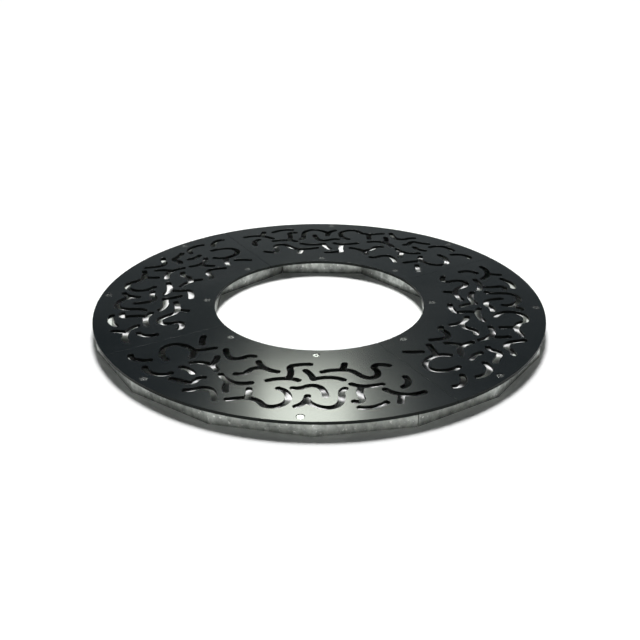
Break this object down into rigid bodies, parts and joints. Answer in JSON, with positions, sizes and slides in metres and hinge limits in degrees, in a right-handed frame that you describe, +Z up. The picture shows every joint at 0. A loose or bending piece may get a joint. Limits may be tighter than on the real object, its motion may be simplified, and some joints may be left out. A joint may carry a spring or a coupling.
{
  "type": "tree grate",
  "caption": "Round steel tree grate: dark slotted quarter plates screwed to a low galvanised frame around a round tree opening, laid flush in paving.",
  "frame": {"origin": "on the axis of the tree opening, at the underside of the frame", "axes": "+Z up, along the axis of the tree opening; the frame joints lie at 22.5 degrees from +X and every quarter turn from there"},
  "size_m": [1.49, 1.49, 0.05],
  "materials": {
    "coated_plate": "satin powder coat",
    "galvanised_frame": "hot-dip galvanised, mottled",
    "zinc_fasteners": "zinc plated"
  },
  "bodies": {
    "root": {"top_plate_1": "coated_plate", "top_plate_2": "coated_plate", "top_plate_3": "coated_plate", "top_plate_4": "coated_plate", "outer_rim_1": "galvanised_frame", "outer_rim_2": "galvanised_frame", "outer_rim_3": "galvanised_frame", "outer_rim_4": "galvanised_frame", "inner_rim_1": "galvanised_frame", "inner_rim_2": "galvanised_frame", "inner_rim_3": "galvanised_frame", "inner_rim_4": "galvanised_frame", "bearer_1": "galvanised_frame", "bearer_2": "galvanised_frame", "bearer_3": "galvanised_frame", "bearer_4": "galvanised_frame", "outer_joint_plates": "galvanised_frame", "inner_joint_plates": "galvanised_frame", "weld_nuts": "galvanised_frame", "plate_screws": "zinc_fasteners", "joint_bolts": "zinc_fasteners", "joint_washers": "zinc_fasteners", "joint_nuts": "zinc_fasteners"}
  },
  "joints": []
}
